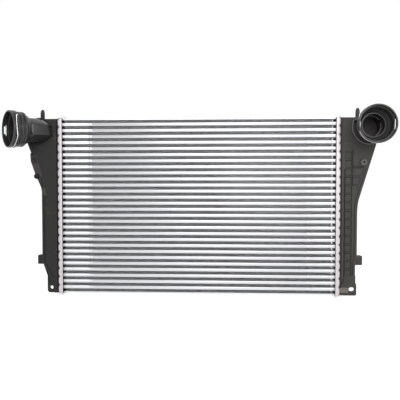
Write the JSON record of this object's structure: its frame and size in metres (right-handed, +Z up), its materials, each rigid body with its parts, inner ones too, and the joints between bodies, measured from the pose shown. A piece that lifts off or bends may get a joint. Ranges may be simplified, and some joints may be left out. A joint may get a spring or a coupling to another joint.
{
  "type": "intercooler",
  "caption": "Upright charge-air cooler: a finned flat-tube aluminium core between crimped plastic tanks, each with a round quick-fit hose socket, locating pin and mounting lug.",
  "frame": {"origin": "the middle of the line between the two top locating pins, on the plane of the tanks' top faces", "axes": "upright as it is carried in the vehicle: +X along the tubes from the tank with the angled socket to the tank with the straight one, +Y from the socket side to the rear face, +Z up"},
  "size_m": [0.8745, 0.1367, 0.435],
  "materials": {
    "tube_aluminium": "bright brazed, satin",
    "fin_aluminium": "thin rolled strip, satin",
    "plate_aluminium": "pressed sheet, satin",
    "tank_plastic": "fine-grained moulding, glass-filled",
    "seal_rubber": "matt",
    "insert_brass": "turned",
    "spring_wire": "drawn spring wire"
  },
  "bodies": {
    "root": {"tube_01": "tube_aluminium", "tube_02": "tube_aluminium", "tube_03": "tube_aluminium", "tube_04": "tube_aluminium", "tube_05": "tube_aluminium", "tube_06": "tube_aluminium", "tube_07": "tube_aluminium", "tube_08": "tube_aluminium", "tube_09": "tube_aluminium", "tube_10": "tube_aluminium", "tube_11": "tube_aluminium", "tube_12": "tube_aluminium", "tube_13": "tube_aluminium", "tube_14": "tube_aluminium", "tube_15": "tube_aluminium", "tube_16": "tube_aluminium", "tube_17": "tube_aluminium", "tube_18": "tube_aluminium", "tube_19": "tube_aluminium", "tube_20": "tube_aluminium", "tube_21": "tube_aluminium", "tube_22": "tube_aluminium", "tube_23": "tube_aluminium", "tube_24": "tube_aluminium", "tube_25": "tube_aluminium", "tube_26": "tube_aluminium", "tube_27": "tube_aluminium", "tube_28": "tube_aluminium", "tube_turbulators": "fin_aluminium", "air_fins": "fin_aluminium", "top_side_plate": "plate_aluminium", "bottom_side_plate": "plate_aluminium", "left_header": "plate_aluminium", "right_header": "plate_aluminium", "left_tank_gasket": "seal_rubber", "right_tank_gasket": "seal_rubber", "left_tank": "tank_plastic", "right_tank": "tank_plastic", "port_sockets": "tank_plastic", "boss_insert": "insert_brass", "port_spring_clips": "spring_wire"}
  },
  "joints": []
}
